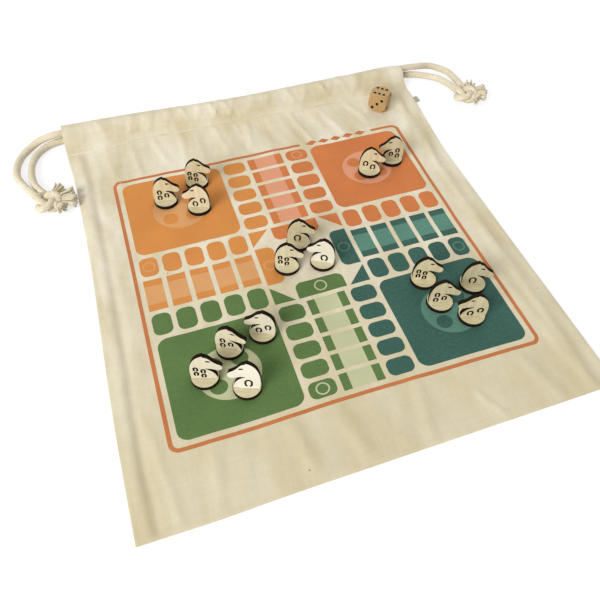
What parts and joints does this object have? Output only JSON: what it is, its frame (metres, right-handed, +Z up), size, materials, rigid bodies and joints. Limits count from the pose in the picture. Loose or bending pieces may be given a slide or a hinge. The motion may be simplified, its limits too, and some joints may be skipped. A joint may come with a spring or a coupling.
{
  "type": "drawstring game bag with ludo board print",
  "caption": "Flat cotton drawstring bag with a ludo board printed on its front, two pull cords with knots, standing wooden horse playing pieces and a wooden die.",
  "frame": {"origin": "middle of the bag on its underside, on the surface that it lies on", "axes": "+Z up out of the printed front, +Y along the bag towards its mouth, +X to the right seen from the bottom edge"},
  "size_m": [0.4117, 0.3527, 0.0262],
  "materials": {
    "canvas": "plain woven natural cotton, unbleached",
    "label_tape": "fine woven cotton tape",
    "rope": "twisted and braided natural cotton cord",
    "birch": "raw birch plywood, laser cut, edges burnt dark",
    "beech": "sanded raw beech",
    "ink_terracotta": "matt water based screen ink",
    "ink_orange": "matt water based screen ink",
    "ink_red": "matt water based screen ink",
    "ink_teal": "matt water based screen ink",
    "ink_green": "matt water based screen ink",
    "ink_orange_tint": "matt water based screen ink, half tone",
    "ink_red_tint": "matt water based screen ink, half tone",
    "ink_teal_tint": "matt water based screen ink, half tone",
    "ink_green_tint": "matt water based screen ink, half tone"
  },
  "bodies": {
    "bag": {"front_panel": "canvas", "back_panel": "canvas", "front_hem": "canvas", "back_hem": "canvas", "side_label": "label_tape", "left_cord_held": "rope", "right_cord_held": "rope", "print_border": "ink_terracotta", "print_orange": "ink_orange", "print_red": "ink_red", "print_teal": "ink_teal", "print_green": "ink_green", "print_orange_tint": "ink_orange_tint", "print_red_tint": "ink_red_tint", "print_teal_tint": "ink_teal_tint", "print_green_tint": "ink_green_tint"},
    "left_drawcord": {"left_cord_tails": "rope", "left_strand_upper": "rope", "left_strand_lower": "rope", "left_knot": "rope"},
    "right_drawcord": {"right_cord_tails": "rope", "right_strand_upper": "rope", "right_strand_lower": "rope", "right_knot": "rope"},
    "die": {"die": "beech"},
    "orange_1": {"orange_1_horse": "birch", "orange_1_base": "birch"},
    "orange_2": {"orange_2_horse": "birch", "orange_2_base": "birch"},
    "orange_3": {"orange_3_horse": "birch", "orange_3_base": "birch"},
    "orange_4": {"orange_4_horse": "birch", "orange_4_base": "birch"},
    "red_1": {"red_1_horse": "birch", "red_1_base": "birch"},
    "red_2": {"red_2_horse": "birch", "red_2_base": "birch"},
    "red_3": {"red_3_horse": "birch", "red_3_base": "birch"},
    "red_4": {"red_4_horse": "birch", "red_4_base": "birch"},
    "teal_1": {"teal_1_horse": "birch", "teal_1_base": "birch"},
    "teal_2": {"teal_2_horse": "birch", "teal_2_base": "birch"},
    "teal_3": {"teal_3_horse": "birch", "teal_3_base": "birch"},
    "teal_4": {"teal_4_horse": "birch", "teal_4_base": "birch"},
    "green_1": {"green_1_horse": "birch", "green_1_base": "birch"},
    "green_2": {"green_2_horse": "birch", "green_2_base": "birch"},
    "green_3": {"green_3_horse": "birch", "green_3_base": "birch"},
    "green_4": {"green_4_horse": "birch", "green_4_base": "birch"}
  },
  "joints": [
    {"name": "left_pull", "type": "slide", "parent": "bag", "child": "left_drawcord", "axis": [-1, 0, 0], "range_m": [0, 0.055]},
    {"name": "right_pull", "type": "slide", "parent": "bag", "child": "right_drawcord", "axis": [1, 0, 0], "range_m": [0, 0.055]},
    {"name": "die_lift", "type": "slide", "parent": "bag", "child": "die", "axis": [0, 0, 1], "range_m": [0, 0.035]},
    {"name": "orange_1_lift", "type": "slide", "parent": "bag", "child": "orange_1", "axis": [0, 0, 1], "range_m": [0, 0.035]},
    {"name": "orange_2_lift", "type": "slide", "parent": "bag", "child": "orange_2", "axis": [0, 0, 1], "range_m": [0, 0.035]},
    {"name": "orange_3_lift", "type": "slide", "parent": "bag", "child": "orange_3", "axis": [0, 0, 1], "range_m": [0, 0.035]},
    {"name": "orange_4_lift", "type": "slide", "parent": "bag", "child": "orange_4", "axis": [0, 0, 1], "range_m": [0, 0.035]},
    {"name": "red_1_lift", "type": "slide", "parent": "bag", "child": "red_1", "axis": [0, 0, 1], "range_m": [0, 0.035]},
    {"name": "red_2_lift", "type": "slide", "parent": "bag", "child": "red_2", "axis": [0, 0, 1], "range_m": [0, 0.035]},
    {"name": "red_3_lift", "type": "slide", "parent": "bag", "child": "red_3", "axis": [0, 0, 1], "range_m": [0, 0.035]},
    {"name": "red_4_lift", "type": "slide", "parent": "bag", "child": "red_4", "axis": [0, 0, 1], "range_m": [0, 0.035]},
    {"name": "teal_1_lift", "type": "slide", "parent": "bag", "child": "teal_1", "axis": [0, 0, 1], "range_m": [0, 0.035]},
    {"name": "teal_2_lift", "type": "slide", "parent": "bag", "child": "teal_2", "axis": [0, 0, 1], "range_m": [0, 0.035]},
    {"name": "teal_3_lift", "type": "slide", "parent": "bag", "child": "teal_3", "axis": [0, 0, 1], "range_m": [0, 0.035]},
    {"name": "teal_4_lift", "type": "slide", "parent": "bag", "child": "teal_4", "axis": [0, 0, 1], "range_m": [0, 0.035]},
    {"name": "green_1_lift", "type": "slide", "parent": "bag", "child": "green_1", "axis": [0, 0, 1], "range_m": [0, 0.035]},
    {"name": "green_2_lift", "type": "slide", "parent": "bag", "child": "green_2", "axis": [0, 0, 1], "range_m": [0, 0.035]},
    {"name": "green_3_lift", "type": "slide", "parent": "bag", "child": "green_3", "axis": [0, 0, 1], "range_m": [0, 0.035]},
    {"name": "green_4_lift", "type": "slide", "parent": "bag", "child": "green_4", "axis": [0, 0, 1], "range_m": [0, 0.035]}
  ]
}
